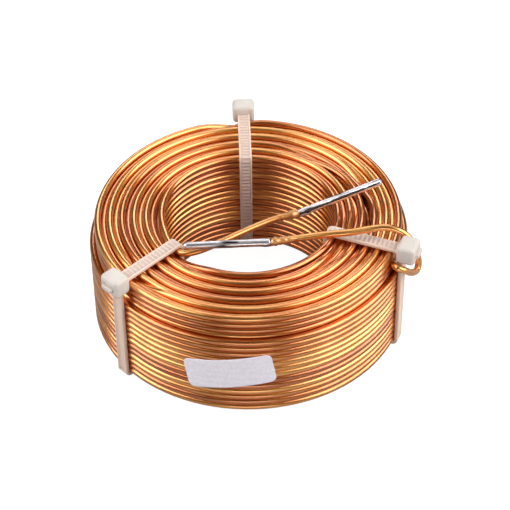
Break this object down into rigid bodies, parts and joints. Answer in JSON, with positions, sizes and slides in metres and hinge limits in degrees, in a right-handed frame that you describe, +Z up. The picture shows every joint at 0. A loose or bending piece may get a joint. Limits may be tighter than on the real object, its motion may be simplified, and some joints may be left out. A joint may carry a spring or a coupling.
{
  "type": "speaker crossover inductor",
  "caption": "Air-core coil of enamelled copper wire for a loudspeaker crossover, bound by nylon cable ties, with tinned leads and a paper sticker.",
  "frame": {"origin": "on the coil's axis, in the plane that the coil stands on", "axes": "+Z up along the coil's axis; the sticker faces -Y, and the outer lead leaves beside the tie on the +X side"},
  "size_m": [0.0735, 0.0748, 0.0314],
  "materials": {
    "enamelled_copper": "gloss",
    "nylon": "satin",
    "solder": "satin",
    "paper": "matte"
  },
  "bodies": {
    "root": {"winding": "enamelled_copper", "inner_lead_solder": "solder", "outer_lead_solder": "solder", "label": "paper", "tie_left": "nylon", "tie_back": "nylon", "tie_right": "nylon"}
  },
  "joints": []
}
